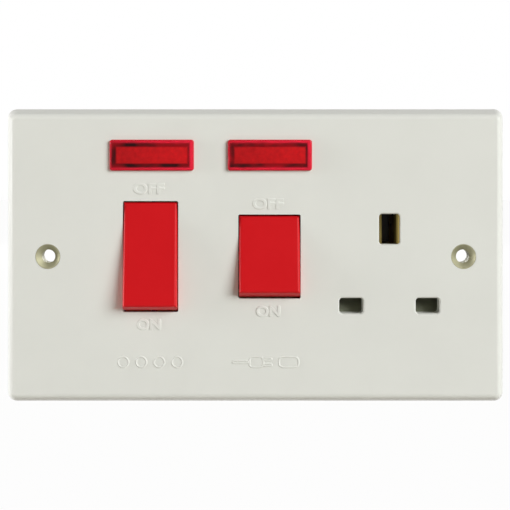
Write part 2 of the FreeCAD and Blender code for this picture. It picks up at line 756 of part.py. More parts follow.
def slots():
    """Each slot's middle and size."""
    return (
        (SOCKET_X, EARTH_Z, EARTH_SLOT_WIDTH, EARTH_SLOT_HEIGHT),
        (NEUTRAL_X, PIN_Z, PIN_SLOT_WIDTH, PIN_SLOT_HEIGHT),
        (LINE_X, PIN_Z, PIN_SLOT_WIDTH, PIN_SLOT_HEIGHT),
    )


def plate_bosses():
    """Fixing bosses, screw bosses, pads for the strap and sleeves behind the slots."""
    root = BACK - 0.2
    side = FIXING_SPACING / 2
    bosses = [rod_y(FIXING_BOSS, x, 0, root, STRAP_FRONT) for x in (-side, side)]
    bosses += [rod_y(PILLAR, x, z, root, SPLIT_Y) for x, z in SCREW_POINTS]
    bosses += [
        box(about(x, 5), (root, STRAP_FRONT), about(STRAP_Z, STRAP_WIDTH - 2))
        for x in (-side + 12, -side / 3, side / 3, side - 12)
    ]
    for x, z, width, height in slots():
        sleeve = (width + 2 * SLEEVE_WALL, height + 2 * SLEEVE_WALL)
        bosses.append(slab(*sleeve, 1.2, x, z, root, SLEEVE_REAR))
    return bosses + plate_ribs()


def plate_ribs():
    """Webs from each fixing boss to the rim, and a row of webs along the top rim."""
    root = BACK - 0.2
    side = FIXING_SPACING / 2
    rim_x = PLATE_WIDTH / 2 - SKIRT_WALL
    rim_z = PLATE_HEIGHT / 2 - SKIRT_WALL
    webs = []
    for end in (-1, 1):
        span = sorted((end * (side + FIXING_BORE + 1.5), end * rim_x))
        webs.append(box(span, (root, STRAP_FRONT), about(0, RIB)))
    for x in (-1.5, -0.5, 0.5, 1.5):
        place = about(x * PLATE_WIDTH / 4.4, RIB)
        webs.append(box(place, (root, STRAP_FRONT), (NEON_Z + LENS_HEIGHT / 2 + RIB, rim_z)))
    return webs


def plate_holes():
    """Openings for rockers and lenses, bearing grooves, slots, screw and fixing holes."""
    through = (FRONT - 1, BACK + 1)
    holes = []
    for switch in (COOKER, SWITCH):
        holes.append(slab(switch.width, switch.height, 0.5, switch.x, 0, *through))
        bearing = switch.width + 2 * TRUNNION_LENGTH + 2 * FIT
        holes.append(rod_x(TRUNNION + RUN, PIVOT_Y, 0, *about(switch.x, bearing)))
        lens = (LENS_WIDTH - 2 * LENS_LIP + 2 * FIT, LENS_HEIGHT - 2 * LENS_LIP + 2 * FIT)
        holes.append(slab(*lens, 0.7, switch.neon, NEON_Z, *through))
    for x, z, width, height in slots():
        holes.append(slab(width, height, 0.9, x, z, FRONT - 1, SLEEVE_REAR + 1))
        wide = rounded_rect(width + 0.7, height + 0.7, 1.25, x, z, FRONT)
        narrow = rounded_rect(width, height, 0.9, x, z, FRONT + 0.45)
        holes.append(Part.makeLoft([wide, narrow], True, True))
    for x, z in SCREW_POINTS:
        holes.append(rod_y(BASE_SCREW + RUN, x, z, FRONT + 1.3, SPLIT_Y + 1))
    for x in (-FIXING_SPACING / 2, FIXING_SPACING / 2):
        holes.append(eyelet_outline(x, RUN))
        holes.append(rod_y(FIXING_HEAD + RUN, x, 0, FRONT - 1, FRONT + 0.2))
    return holes


# Rear base
def rear_base():
    width = BASE_RIGHT - BASE_LEFT
    middle = (BASE_LEFT + BASE_RIGHT) / 2
    shell = slab(width, 2 * BASE_OUTER, BASE_CORNER, middle, 0, BACK, BASE_REAR)
    shell = shell.makeFillet(BASE_ROUND, edges_at_depth(shell, BASE_REAR))
    hollow = (width - 2 * BASE_WALL, 2 * BASE_INNER)
    inside = slab(*hollow, BASE_CORNER - BASE_WALL, middle, 0, BACK - 1, FLOOR_Y)
    return joined(shell.cut(inside), *base_ribs()).cut(base_holes())


def base_ribs():
    """Screw pillars, bearing posts, barriers between poles and guides for the shutter."""
    root = FLOOR_Y + 0.2
    ribs = [rod_y(PILLAR, x, z, SPLIT_Y, root) for x, z in SCREW_POINTS]
    for switch in (COOKER, SWITCH):
        near = switch.width / 2 - ROCKER_SIDE_GAP + SLIDE
        for side in (-1, 1):
            ends = sorted((switch.x + side * near, switch.x + side * (near + BEARING_POST)))
            ribs.append(box(ends, (BACK, root), about(0, 5)))
    barrier = about(COOKER_X, RIB)
    ribs.append(box(barrier, (NOSE_Y - 6.6, root), (-BAR_ARM, BAR_ARM)))
    for side in (-1, 1):
        span = sorted((side * BLOCK_NEAR, side * (BASE_INNER + 0.2)))
        ribs.append(box(barrier, (BLOCK_FRONT, root), span))
        for pole in (-1, 1):
            edge = COOKER_POLE + BLOCK_WIDTH / 2 + FIT
            ends = sorted((COOKER_X + pole * edge, COOKER_X + pole * (edge + RIB)))
            ribs.append(box(ends, (BLOCK_FRONT, root), span))
    low = (-BASE_INNER - 0.2, SHUTTER_TOP + 2)
    guide = (SHUTTER_LEFT - SLIDE - RIB, SHUTTER_LEFT - SLIDE)
    ribs.append(box(guide, (SHUTTER_FRONT, root), low))
    ribs.append(box(guide, (BACK + FIT, root), (SHUTTER_TOP + 1.8, BASE_INNER + 0.2)))
    for side in (-1, 1):
        x = SOCKET_X + side * (PIN_SPACING / 2 - 5.4)
        ribs.append(box(about(x, RIB), (SHUTTER_REAR + SLIDE, root), low))
    peg = (SHUTTER_FRONT + SHUTTER_REAR) / 2
    ribs.append(rod_z(0.8, SOCKET_X, peg, -BASE_INNER - 0.2, -BASE_INNER + 2))
    return ribs


def base_holes():
    """Screw and clamp holes, wire ways, bearing notches and the slots for straps."""
    holes = [rod_y(BASE_SCREW + 0.15, x, z, SPLIT_Y - 1, BASE_REAR + 1) for x, z in SCREW_POINTS]
    holes += [rod_y(CLAMP_SCREW + 1.4, x, z, FLOOR_Y - 0.5, BASE_REAR + 1) for x, z in CLAMP_POINTS]
    for pole in COOKER.poles:
        for side in (-1, 1):
            span = sorted((side * (BASE_INNER - 0.5), side * (BASE_OUTER + 1)))
            way = WIRE_BORE + SLIDE
            holes.append(rod_z(way, COOKER_X + pole, WIRE_Y, *span))
            mouth = V(COOKER_X + pole, WIRE_Y, side * (BASE_OUTER - LEAD_IN))
            holes.append(Part.makeCone(way, way + LEAD_IN, LEAD_IN, mouth, Z * side))
    for switch in (COOKER, SWITCH):
        reach = switch.width + 4 * BEARING_POST
        holes.append(rod_x(TRUNNION + RUN, PIVOT_Y, 0, *about(switch.x, reach)))
        notch = about(0, 2 * (TRUNNION + RUN))
        holes.append(box(about(switch.x, reach), (BACK - 1, PIVOT_Y), notch))
    for side in (-1, 1):
        x = COOKER_X + side * lead_reach()
        holes.append(rod_z(LEAD + 0.05, x, WIRE_Y, BASE_INNER - 0.5, BASE_OUTER + 1))
    for x in (SWITCH_X - lead_reach(), lead_side()):
        holes.append(rod_z(LEAD + 0.15, x, lead_drop(), BASE_INNER - 0.5, BASE_OUTER + 1))
    tail = about(SOCKET_X, CLIP_GAP + CLIP + 0.4)
    holes.append(box(tail, (FLOOR_Y - CLIP - 0.15, FLOOR_Y), (-BASE_OUTER - 1, -BASE_INNER + 0.5)))
    foot = (SHUTTER_LEFT - 3, SHUTTER_LEFT)
    holes.append(box(foot, (STRIP_Y - SLIDE, FLOOR_Y), (LINK_Z - 0.2, LINK_Z + LINK_WIDTH + 0.2)))
    holes.append(box(foot, (STRIP_Y - SLIDE, FLOOR_Y), (LOAD_Z - 0.2, LOAD_Z + LOAD_WIDTH + 0.2)))
    return holes


def base_screw(x, z):
    shank = rod_y(BASE_SCREW, x, z, FRONT + 1.8, BASE_REAR + 0.2)
    head = Part.makeCone(2.6, 2.0, 1.4, V(x, BASE_REAR, z), Y)
    slot_depth = (BASE_REAR + 0.7, BASE_REAR + 2 * SCREW_HEAD)
    slot = box(about(x, 4 * CLAMP_SCREW), slot_depth, about(z, SCREW_SLOT))
    return joined(shank, head).cut(slot)


def clamp_screws():
    return [clamp_screw(x, z, BLOCK_FRONT, FLOOR_Y + 0.2) for x, z in CLAMP_POINTS]


def build():
    side = FIXING_SPACING / 2
    neutral, line = COOKER.poles
    supply_neutral, supply_line, load_neutral, load_line = CLAMP_POINTS
    nodes = {
        "faceplate": faceplate(),
        "fixing_eyelets": Part.makeCompound([eyelet(-side), eyelet(side)]),
        "rear_base": rear_base(),
        "base_screws": Part.makeCompound([base_screw(x, z) for x, z in SCREW_POINTS]),
        "cooker_rocker": rocker(COOKER),
        "switch_rocker": rocker(SWITCH),
        "switch_plunger": plunger(SWITCH, 0),
        "switch_spring": plunger_spring(SWITCH, 0),
        "switch_moving_contact": moving_contact(SWITCH, 0),
        "switch_pivot_strip": pivot_strip(SWITCH, 0, LINK_Z),
        "switch_load_strip": switch_load_strip(),
        "line_link": line_link(),
        "neutral_link": neutral_link(),
        "line_pin_contact": pin_contact(LINE_X),
        "neutral_pin_contact": pin_contact(NEUTRAL_X),
        "earth_pin_contact": earth_contact(),
        "shutter": shutter(),
        "shutter_spring": shutter_spring(),
        "terminal_screws": Part.makeCompound(clamp_screws()),
        "earth_strap": earth_strap(),
        "earth_terminals": earth_blocks(),
        "earth_screws": Part.makeCompound([
            clamp_screw(x, STRAP_Z, STRAP_REAR, STRAP_REAR + BLOCK_DEPTH + 0.2) for x in EARTH_BLOCKS
        ]),
        "cooker_neon_leads": cooker_leads(),
        "switch_neon_leads": switch_leads(),
    }
    ways = (("line", line, supply_line, load_line), ("neutral", neutral, supply_neutral, load_neutral))
    for name, pole, supply, load in ways:
        nodes["cooker_" + name + "_plunger"] = plunger(COOKER, pole)
        nodes["cooker_" + name + "_spring"] = plunger_spring(COOKER, pole)
        nodes["cooker_" + name + "_moving_contact"] = moving_contact(COOKER, pole)
        strip = with_clamp_hole(pivot_strip(COOKER, pole, -BLOCK_FAR), supply)
        nodes["cooker_" + name + "_pivot_strip"] = strip
        nodes["cooker_" + name + "_fixed_contact"] = with_clamp_hole(fixed_contact(COOKER, pole), load)
        nodes["supply_" + name + "_terminal"] = terminal_block(*supply, BLOCK_FRONT)
        nodes["cooker_" + name + "_terminal"] = terminal_block(*load, BLOCK_FRONT)
    for name, switch in (("cooker", COOKER), ("switch", SWITCH)):
        nodes[name + "_neon_lens"] = neon_lens(switch.neon)
        nodes[name + "_neon_holder"] = neon_holder(switch)
        nodes[name + "_neon_lamp"] = neon_lamp(switch.neon)
        nodes[name + "_neon_resistor"] = neon_resistor(switch.x)
    return nodes


os.makedirs("parts", exist_ok=True)
for node, shape in build().items():
    shape.exportStep(os.path.join("parts", node + ".step"))
    print(node, len(shape.Solids), shape.isValid(), round(shape.Volume, 1))
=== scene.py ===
# %% [markdown]
# # A cooker control unit
# A double wall plate holds a large switch for a cooker, a smaller switch for a socket, a
# neon above each of them and the socket itself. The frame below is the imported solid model:
# every piece is already in place, in metres, with the front of the plate facing -Y.

import math

import bmesh
import bpy
import numpy as np
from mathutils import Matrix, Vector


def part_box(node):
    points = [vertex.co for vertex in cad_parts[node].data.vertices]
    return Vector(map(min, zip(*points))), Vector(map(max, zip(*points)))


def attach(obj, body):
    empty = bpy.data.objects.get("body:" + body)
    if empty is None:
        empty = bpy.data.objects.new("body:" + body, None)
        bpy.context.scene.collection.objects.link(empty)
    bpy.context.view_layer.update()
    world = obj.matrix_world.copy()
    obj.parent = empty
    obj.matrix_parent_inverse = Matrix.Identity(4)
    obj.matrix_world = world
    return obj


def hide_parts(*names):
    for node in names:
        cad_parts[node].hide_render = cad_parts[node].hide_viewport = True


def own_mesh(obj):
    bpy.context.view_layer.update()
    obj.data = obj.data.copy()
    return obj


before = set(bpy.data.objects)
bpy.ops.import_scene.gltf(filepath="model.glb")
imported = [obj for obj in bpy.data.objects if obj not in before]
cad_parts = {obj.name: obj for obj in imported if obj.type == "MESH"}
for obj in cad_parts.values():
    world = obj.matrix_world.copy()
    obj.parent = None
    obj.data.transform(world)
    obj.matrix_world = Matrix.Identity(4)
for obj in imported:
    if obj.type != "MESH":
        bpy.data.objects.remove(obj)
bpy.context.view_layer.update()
MM = 0.001

# %% [markdown]
# The plate was photographed square on, from a little above its middle. A tilted camera
# would make the upright edges lean, so the camera looks straight along +Y and the picture
# is shifted down instead. The width of the view at the face sets the lens.

# %% Camera
FACE_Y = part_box("faceplate")[0][1]
CAMERA_DISTANCE = 360 * MM
VIEW_WIDTH = 147.9 * MM
CAMERA_X = -5 * MM
CAMERA_Z = 27 * MM
VIEW_MIDDLE_X = -0.2 * MM
VIEW_MIDDLE_Z = 0.46 * MM

camera_data = bpy.data.cameras.new("camera")
camera_data.sensor_width = 36.0
camera_data.lens = camera_data.sensor_width * CAMERA_DISTANCE / VIEW_WIDTH
camera_data.shift_x = (VIEW_MIDDLE_X - CAMERA_X) / VIEW_WIDTH
camera_data.shift_y = (VIEW_MIDDLE_Z - CAMERA_Z) / VIEW_WIDTH
camera_data.clip_start = 0.01
camera = bpy.data.objects.new("camera", camera_data)
camera.location = (CAMERA_X, FACE_Y - CAMERA_DISTANCE, CAMERA_Z)
camera.rotation_euler = (math.radians(90), 0, 0)
bpy.context.collection.objects.link(camera)
bpy.context.scene.camera = camera
bpy.context.scene.view_settings.view_transform = "Standard"
print("lens", round(camera_data.lens, 1), "mm, shift", round(camera_data.shift_y, 4))

# %% [markdown]
# Colours are written as the hex values that an eye reads off a screen, but light adds up
# in linear numbers, so one function converts them. A second one adds a shader node, sets
# its values and joins its inputs, which keeps each material down to a few lines.

# %% Helpers for materials
def linear(hex_colour):
    """sRGB hex to linear RGBA: v/12.92 below 0.04045, else ((v + 0.055)/1.055)^2.4."""
    srgb = np.array([int(hex_colour[i:i + 2], 16) for i in (1, 3, 5)]) / 255
    rgb = np.where(srgb <= 0.04045, srgb / 12.92, ((srgb + 0.055) / 1.055) ** 2.4)
    return (*rgb.tolist(), 1.0)


def put(tree, kind, inputs=None, **settings):
    """Adds a node; an input that is another node's socket is joined, any other is set."""
    node = tree.nodes.new(kind)
    for name, value in settings.items():
        setattr(node, name, value)
    for socket, value in (inputs or {}).items():
        if isinstance(value, bpy.types.NodeSocket):
            tree.links.new(value, node.inputs[socket])
        else:
            node.inputs[socket].default_value = value
    return node


def per_mm(size):
    """Texture scale for a pattern whose features are this many millimetres apart."""
    return 1000.0 / size


print("linear of mid grey", round(linear("#808080")[0], 3))

# %% [markdown]
# Moulded plastic is never one even colour: the melt leaves faint clouds where it flowed,
# the polished tool leaves a very fine ripple, and handling changes the gloss a little.
# Rolled and plated metal has the same three things at other sizes. One recipe therefore
# serves them all: clouds between two close colours, clouds in the roughness, and a ripple
# in the normal, each with its real size in millimetres.

# %% The recipe for a finish
def finish(name, dark, light, cloud, ripple, ripple_depth, rough, stretch=(1, 1, 1), **shader):
    """Material: colour = mix(dark, light, clouds), roughness = range(clouds), normal = ripple.

    cloud and ripple are spacings in millimetres, ripple_depth a height in millimetres, rough
    the lowest and highest roughness, stretch the pattern's scale along each axis, and shader
    any plain values of the Principled BSDF.
    """
    material = bpy.data.materials.new(name)
    material.use_nodes = True
    tree = material.node_tree
    tree.nodes.clear()
    place = put(tree, "ShaderNodeTexCoord").outputs["Object"]
    place = put(tree, "ShaderNodeMapping", {"Vector": place, "Scale": stretch}).outputs[0]
    clouds = put(tree, "ShaderNodeTexNoise", {
        "Vector": place, "Scale": per_mm(cloud), "Detail": 4.0, "Roughness": 0.55})
    waves = put(tree, "ShaderNodeTexNoise", {
        "Vector": place, "Scale": per_mm(ripple), "Detail": 2.0, "Roughness": 0.5})
    colour = put(tree, "ShaderNodeMix", {
        "Factor": clouds.outputs["Fac"], "A": linear(dark), "B": linear(light)}, data_type="RGBA")
    gloss = put(tree, "ShaderNodeMapRange", {
        "Value": clouds.outputs["Fac"], "From Min": 0.3, "From Max": 0.7,
        "To Min": rough[0], "To Max": rough[1]})
    bump = put(tree, "ShaderNodeBump", {
        "Height": waves.outputs["Fac"], "Strength": 1.0, "Distance": ripple_depth * MM})
    surface = put(tree, "ShaderNodeBsdfPrincipled", {
        "Base Color": colour.outputs[2], "Roughness": gloss.outputs[0],
        "Normal": bump.outputs[0], **shader})
    put(tree, "ShaderNodeOutputMaterial", {"Surface": surface.outputs[0]})
    print("finish", name)
    return material


# %% [markdown]
# The plate is urea-formaldehyde, a hard off-white thermoset with a satin face. The rockers
# are glossier red ABS. The moulding behind the plate is black phenolic, and the shutter,
# plungers and lamp holders are nylon.

# %% Plastics
urea_white = finish(
    "urea_moulding_off_white", "#DDDED8", "#E3E4DE", 18, 0.9, 0.0016, (0.36, 0.44),
    **{"Specular IOR Level": 0.3})
rocker_red = finish(
    "abs_rocker_red", "#C91219", "#D1171E", 9, 0.7, 0.0010, (0.30, 0.38),
    **{"Specular IOR Level": 0.12})
phenolic_black = finish(
    "phenolic_moulding_black", "#232321", "#2E2D2A", 7, 0.5, 0.0040, (0.46, 0.54), IOR=1.6)
shutter_nylon = finish(
    "nylon_shutter_grey", "#898C76", "#979A86", 3, 0.4, 0.0030, (0.40, 0.52), IOR=1.53)
plunger_nylon = finish(
    "nylon_plunger_natural", "#DAD6C8", "#E5E1D4", 3, 0.4, 0.0020, (0.38, 0.48), IOR=1.53)
holder_nylon = finish(
    "nylon_lamp_holder_white", "#B4AEA6", "#F2EEE8", 1.6, 0.8, 0.0200, (0.45, 0.60), IOR=1.53)

# %% [markdown]
# The metal parts are stampings and turned pieces. Strip brass keeps fine lines along the
# way it was rolled, so its pattern is drawn out along X. The eyelets are nickel over brass,
# worn to a matt olive tone. Screws are zinc plated, springs are bright stainless wire.

# %% Metals
brass_strip = finish(
    "brass_rolled_strip", "#B08D45", "#C9A65A", 2.5, 0.3, 0.0015, (0.26, 0.42),
    stretch=(0.25, 1, 1), Metallic=1.0)
brass_turned = finish(
    "brass_terminal_turned", "#B8954C", "#D0AF66", 2.0, 0.25, 0.0020, (0.24, 0.38), Metallic=1.0)
nickel_dull = finish(
    "nickel_plated_eyelet", "#98957A", "#B1AE94", 1.2, 0.2, 0.0010, (0.56, 0.66), Metallic=1.0)
zinc_plate = finish(
    "zinc_plated_steel", "#A9ACAA", "#C4C6C2", 1.5, 0.2, 0.0015, (0.28, 0.42), Metallic=1.0)
spring_steel = finish(
    "stainless_spring_wire", "#B7B8B8", "#CFCFCE", 0.8, 0.1, 0.0005, (0.18, 0.28), Metallic=1.0)
tinned_copper = finish(
    "tinned_copper_lead", "#B9B5AC", "#D2CEC6", 1.0, 0.2, 0.0010, (0.25, 0.38), Metallic=1.0)

# %% [markdown]
# Behind each lens are two small things. A neon lamp is clear glass that has browned a
# little round its electrodes, and its resistor is a dipped ceramic body.

# %% Glass and ceramic
lamp_glass = finish(
    "neon_lamp_glass", "#E8DCC8", "#F4ECDD", 2.0, 1.0, 0.0010, (0.04, 0.10),
    IOR=1.5, **{"Transmission Weight": 0.7})
resistor_body = finish(
    "resistor_dipped_ceramic", "#B99A6A", "#CDB083", 1.0, 0.3, 0.0040, (0.35, 0.50), IOR=1.5)

# %% [markdown]
# A lens is cast acrylic dyed red, and its colour is painted in three zones. In the middle a
# pebbled window spreads the light. Round it a painted shade in streaks stands for the dark
# behind the plate, seen through the clear wall. The rim is the wall seen end on, painted
# light where light that entered at the edges comes out again. The whole lens is painted
# lighter towards the right and its rim wider there, a painted light from the right. A zone's
# edge is where the larger of |x| - half width and |z| - half height, measured from the
# lens's middle, is 0.

# %% The red lenses
WINDOW_HALF = (10.3 * MM, 2.4 * MM)
RIM = 0.9 * MM
# How far the rim's inner edge moves left, so that the rim's painted light is wider at the right
PAINTED_RIM_SHIFT = 0.35 * MM
ZONE_BLUR = 0.34 * MM
PEBBLE_DEPTH = 0.004 * MM
# Spacings in millimetres, the range of noise over which a streak of the painted shade goes
# from dark to light, and how much further towards the light colour the right-hand end is than
# the middle, as painted light from the right
PEBBLE = 1.5
STREAK = 5.0
STREAK_RANGE = (0.38, 0.62)
PAINTED_LIGHT_LEAN = 0.25


def lens_finish(name, node):
    """Material of three zones about the node's middle: window, painted-shade wall, painted-light
    rim.
    """
    low, high = (np.array(corner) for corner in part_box(node))
    middle = (low + high) / 2
    wall_half = (high - low) / 2 - RIM
    material = bpy.data.materials.new(name)
    material.use_nodes = True
    tree = material.node_tree
    tree.nodes.clear()
    place = put(tree, "ShaderNodeTexCoord").outputs["Object"]
    pebbles = put(tree, "ShaderNodeTexNoise", {
        "Vector": place, "Scale": per_mm(PEBBLE), "Detail": 2.0, "Roughness": 0.6}).outputs["Fac"]
    streaks = put(tree, "ShaderNodeTexNoise", {
        "Vector": place, "Scale": per_mm(STREAK), "Detail": 1.0})
    streaks = put(tree, "ShaderNodeMapRange", {
        "Value": streaks.outputs["Fac"],
        "From Min": STREAK_RANGE[0], "From Max": STREAK_RANGE[1]}).outputs[0]
    axes = put(tree, "ShaderNodeSeparateXYZ", {0: place}).outputs
    # The base colour is painted lighter towards the right, a painted light from that side
    across = put(tree, "ShaderNodeMath", {0: axes["X"], 1: middle[0]}, operation="SUBTRACT")
    painted_light_lean = put(tree, "ShaderNodeMath", {
        0: across.outputs[0], 1: PAINTED_LIGHT_LEAN / wall_half[0], 2: pebbles,
    }, operation="MULTIPLY_ADD").outputs[0]
    colour = put(tree, "ShaderNodeMix", {
        "Factor": painted_light_lean, "A": linear("#A60D13"), "B": linear("#E2191F"),
    }, data_type="RGBA").outputs[2]
    # Outside the window a painted shade in streaks, outside the wall the rim's painted light
    zones = (
        (0.0, WINDOW_HALF, streaks, "#240205", "#880610"),
        (PAINTED_RIM_SHIFT, (wall_half[0], wall_half[2]), painted_light_lean, "#C01628", "#DC2039"),
    )
    for shift, half, pattern, dark, light in zones:
        zone = put(tree, "ShaderNodeMix", {
            "Factor": pattern, "A": linear(dark), "B": linear(light)}, data_type="RGBA")
        local = put(tree, "ShaderNodeVectorMath", {
            0: place, 1: (middle[0] - shift, 0.0, middle[2])}, operation="SUBTRACT")
        local = put(tree, "ShaderNodeVectorMath", {0: local.outputs[0]}, operation="ABSOLUTE")
        past = put(tree, "ShaderNodeVectorMath", {
            0: local.outputs[0], 1: (half[0], 0.0, half[1])}, operation="SUBTRACT")
        past = put(tree, "ShaderNodeSeparateXYZ", {0: past.outputs[0]}).outputs
        past = put(tree, "ShaderNodeMath", {0: past["X"], 1: past["Z"]}, operation="MAXIMUM")
        outside = put(tree, "ShaderNodeMapRange", {
            "Value": past.outputs[0], "From Min": -ZONE_BLUR, "From Max": ZONE_BLUR,
        }, interpolation_type="SMOOTHSTEP")
        colour = put(tree, "ShaderNodeMix", {
            "Factor": outside.outputs[0], "A": colour, "B": zone.outputs[2],
        }, data_type="RGBA").outputs[2]
    bump = put(tree, "ShaderNodeBump", {
        "Height": pebbles, "Strength": 1.0, "Distance": PEBBLE_DEPTH})
    surface = put(tree, "ShaderNodeBsdfPrincipled", {
        "Base Color": colour, "Normal": bump.outputs[0], "Roughness": 0.16, "IOR": 1.49,
        "Specular IOR Level": 0.06, "Transmission Weight": 0.1})
    put(tree, "ShaderNodeOutputMaterial", {"Surface": surface.outputs[0]})
    print("finish", name, "about x", round(middle[0] / MM, 2), "z", round(middle[2] / MM, 2))
    return material


cooker_lens_red = lens_finish("acrylic_cast_red_left", "cooker_neon_lens")
switch_lens_red = lens_finish("acrylic_cast_red_right", "switch_neon_lens")

# %% [markdown]
# Each node of the frame now takes its finish. The nodes keep their own meshes: only the
# material in their slots changes.

# %% Give the nodes their finishes
WORN_BY = {
    urea_white: ["faceplate"],
    rocker_red: ["cooker_rocker", "switch_rocker"],
    phenolic_black: ["rear_base"],
    shutter_nylon: ["shutter"],
    plunger_nylon: ["cooker_line_plunger", "cooker_neutral_plunger", "switch_plunger"],
    holder_nylon: ["cooker_neon_holder", "switch_neon_holder"],
    brass_strip: [
        "cooker_line_pivot_strip", "cooker_neutral_pivot_strip", "switch_pivot_strip",
        "cooker_line_fixed_contact", "cooker_neutral_fixed_contact", "switch_load_strip",
        "cooker_line_moving_contact", "cooker_neutral_moving_contact", "switch_moving_contact",
        "line_link", "neutral_link", "line_pin_contact", "neutral_pin_contact",
        "earth_pin_contact", "earth_strap"],
    brass_turned: [
        "supply_line_terminal", "supply_neutral_terminal", "cooker_line_terminal",
        "cooker_neutral_terminal", "earth_terminals"],
    nickel_dull: ["fixing_eyelets"],
    zinc_plate: ["base_screws", "terminal_screws", "earth_screws"],
    spring_steel: [
        "cooker_line_spring", "cooker_neutral_spring", "switch_spring", "shutter_spring"],
    tinned_copper: ["cooker_neon_leads", "switch_neon_leads"],
    lamp_glass: ["cooker_neon_lamp", "switch_neon_lamp"],
    resistor_body: ["cooker_neon_resistor", "switch_neon_resistor"],
    cooker_lens_red: ["cooker_neon_lens"],
    switch_lens_red: ["switch_neon_lens"],
}
for material, names in WORN_BY.items():
    for name in names:
        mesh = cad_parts[name].data
        mesh.materials.clear()
        mesh.materials.append(material)
print("dressed", sum(len(names) for names in WORN_BY.values()), "of", len(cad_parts))

# %% [markdown]
# Four springs shorten when the pieces they push on move in. A copy of each one, with its
# repeated points merged and its faces smooth, stands for its node and rides with its body.

# %% Spring copies that ride with their bodies
# A rocker at OFF leans by half its throw, and its plungers with it
MERGE = 0.001 * MM


def live_spring(node, body):
    """Copy of a spring with merged points and smooth faces, standing for its node on its body.
    """
    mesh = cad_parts[node].data.copy()
    shell = bmesh.new()
    shell.from_mesh(mesh)
    bmesh.ops.remove_doubles(shell, verts=shell.verts, dist=MERGE)
    shell.to_mesh(mesh)
    shell.free()
    mesh.name = node + "_live"
    mesh.polygons.foreach_set("use_smooth", np.ones(len(mesh.polygons), dtype=bool))
    points = np.empty(len(mesh.vertices) * 3)
    mesh.vertices.foreach_get("co", points)
    piece = bpy.data.objects.new(node + "_live", mesh)
    bpy.context.collection.objects.link(piece)
    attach(piece, body)
    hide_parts(node)
    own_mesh(piece)


POLES = {"cooker_line": "cooker", "cooker_neutral": "cooker", "switch": "switch"}
for pole, rocker in POLES.items():
    live_spring(
        pole + "_spring", rocker + "_rocker_body")
live_spring("shutter_spring", "unit")

# %% [markdown]
# The pieces added from here on never move by themselves: they ride with the plate. One
# helper gives such a mesh its name, its material and its body.

# %% A fixed piece
def dressed(name, mesh, material=urea_white):
    """A fixed piece that rides with the plate, by default in the plate's own material."""
    mesh.name = name
    mesh.materials.clear()
    mesh.materials.append(material)
    piece = bpy.data.objects.new(name, mesh)
    bpy.context.collection.objects.link(piece)
    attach(piece, "unit")
    print("added", name, len(mesh.polygons), "faces")


# %% [markdown]
# The words beside the rockers are moulded with the plate and stand a fifth of a
# millimetre proud with rounded strokes, so only their edges catch the light. Each word is
# set as text, turned into a mesh, fitted to its measured width and height, and laid on the
# face.

# %% Raised words
RELIEF = 0.2 * MM
SUNK = 0.15 * MM
# Strokes in the text's own units, before a word is fitted
STROKE_FLAT = 0.01
STROKE_ROUND = 0.045
STROKE_SWELL = 0.005
# Places and sizes on the face, in millimetres
COOKER_WORDS_X = -31.0
SWITCH_WORDS_X = 3.6
OFF_WIDTH = 9.2
ON_WIDTH = 7.1
WORD_HEIGHT = 3.3


def raised_word(name, text, centre, size):
    """Text made a mesh, then scaled to size (x, z) and to the depth from SUNK to RELIEF."""
    curve = bpy.data.curves.new(name, "FONT")
    curve.body = text
    curve.extrude = STROKE_FLAT
    curve.bevel_depth = STROKE_ROUND
    curve.bevel_resolution = 3
    curve.offset = STROKE_SWELL
    curve.resolution_u = 6
    setting = bpy.data.objects.new(name + "_setting", curve)
    bpy.context.collection.objects.link(setting)
    graph = bpy.context.evaluated_depsgraph_get()
    mesh = bpy.data.meshes.new_from_object(setting.evaluated_get(graph))
    bpy.data.objects.remove(setting)
    points = np.empty(len(mesh.vertices) * 3)
    mesh.vertices.foreach_get("co", points)
    points = points.reshape(-1, 3)
    low, high = points.min(axis=0), points.max(axis=0)
    unit = (points - (low + high) / 2) / (high - low)
    placed = np.column_stack([
        centre[0] * MM + unit[:, 0] * size[0] * MM,
        FACE_Y + SUNK - (unit[:, 2] + 0.5) * (SUNK + RELIEF),
        centre[1] * MM + unit[:, 1] * size[1] * MM,
    ])
    mesh.vertices.foreach_set("co", placed.ravel())
    mesh.update()
    dressed(name, mesh)


raised_word("cooker_off_word", "OFF", (COOKER_WORDS_X, 19.7), (OFF_WIDTH, WORD_HEIGHT))
raised_word("cooker_on_word", "ON", (COOKER_WORDS_X, -19.7), (ON_WIDTH, WORD_HEIGHT))
raised_word("switch_off_word", "OFF", (SWITCH_WORDS_X, 15.3), (OFF_WIDTH, WORD_HEIGHT))
raised_word("switch_on_word", "ON", (SWITCH_WORDS_X, -15.9), (ON_WIDTH, WORD_HEIGHT))

# %% [markdown]
# Below each rocker a small raised sign says what it works: four hob rings in a row for the
# cooker, and a plug beside its socket. Each line of a sign is a bead, an oval section
# carried round a closed path, half of it sunk in the plate.

# %% Raised signs
BEAD = 0.28 * MM
BEAD_POINTS = 10
PATH_POINTS = 72
# Places and sizes on the face, in millimetres
SIGN_Z = -30.6
SIGN_HEIGHT = 3.0
HOB_X = -30.6
HOB_SPACING = 5.2
LEAD_X, LEAD_LENGTH = -4.4, 4.6
PLUG_X, PLUG_WIDTH = 0.2, 4.0
PIN_X, PIN_LENGTH, PIN_RISE = 3.5, 2.2, 0.8
OUTLET_X, OUTLET_WIDTH = 9.6, 5.6
BAR = 0.62
# Powers of the rounded rectangles: higher is squarer
CIRCLE, ROUNDED, BLUNT = 2, 4, 5


